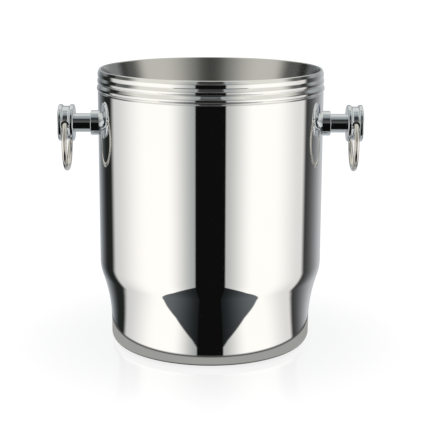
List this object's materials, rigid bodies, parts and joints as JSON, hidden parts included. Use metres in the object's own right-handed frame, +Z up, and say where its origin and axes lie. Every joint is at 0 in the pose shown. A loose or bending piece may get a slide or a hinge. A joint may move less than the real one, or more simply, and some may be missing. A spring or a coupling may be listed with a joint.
{
  "type": "champagne bucket",
  "caption": "Double-walled metal champagne bucket with a beaded rim and a swinging ring handle on a spool knob at each side; holds a bottle in ice.",
  "frame": {"origin": "on the table, under the centre of the bucket", "axes": "+Z up the bucket's axis, +X towards the right-hand handle, +Y away from the front"},
  "size_m": [0.2708, 0.2016, 0.248],
  "materials": {
    "polished_shell": "mirror-polished, with fine wiping marks",
    "satin_liner": "satin, spun round the axis, with the rolled lip polished",
    "chrome_fittings": "turned and bright-plated",
    "nickel_wire": "drawn wire, bright nickel plate",
    "zinc_fasteners": "zinc-plated steel"
  },
  "bodies": {
    "bucket": {"outer_shell": "polished_shell", "inner_liner": "satin_liner", "left_collar": "chrome_fittings", "right_collar": "chrome_fittings", "left_post": "chrome_fittings", "right_post": "chrome_fittings", "left_knob": "chrome_fittings", "right_knob": "chrome_fittings", "handle_screws": "zinc_fasteners", "lock_washers": "zinc_fasteners", "saddle_washers": "zinc_fasteners"},
    "left_ring_body": {"left_ring": "nickel_wire"},
    "right_ring_body": {"right_ring": "nickel_wire"}
  },
  "joints": [
    {"name": "left_ring_swing", "type": "hinge", "parent": "bucket", "child": "left_ring_body", "pos_m": [-0.1285, 0, 0.199], "axis": [0, -1, 0], "range_deg": [-217, 39]},
    {"name": "right_ring_swing", "type": "hinge", "parent": "bucket", "child": "right_ring_body", "pos_m": [0.1285, 0, 0.199], "axis": [0, 1, 0], "range_deg": [-217, 39]}
  ]
}
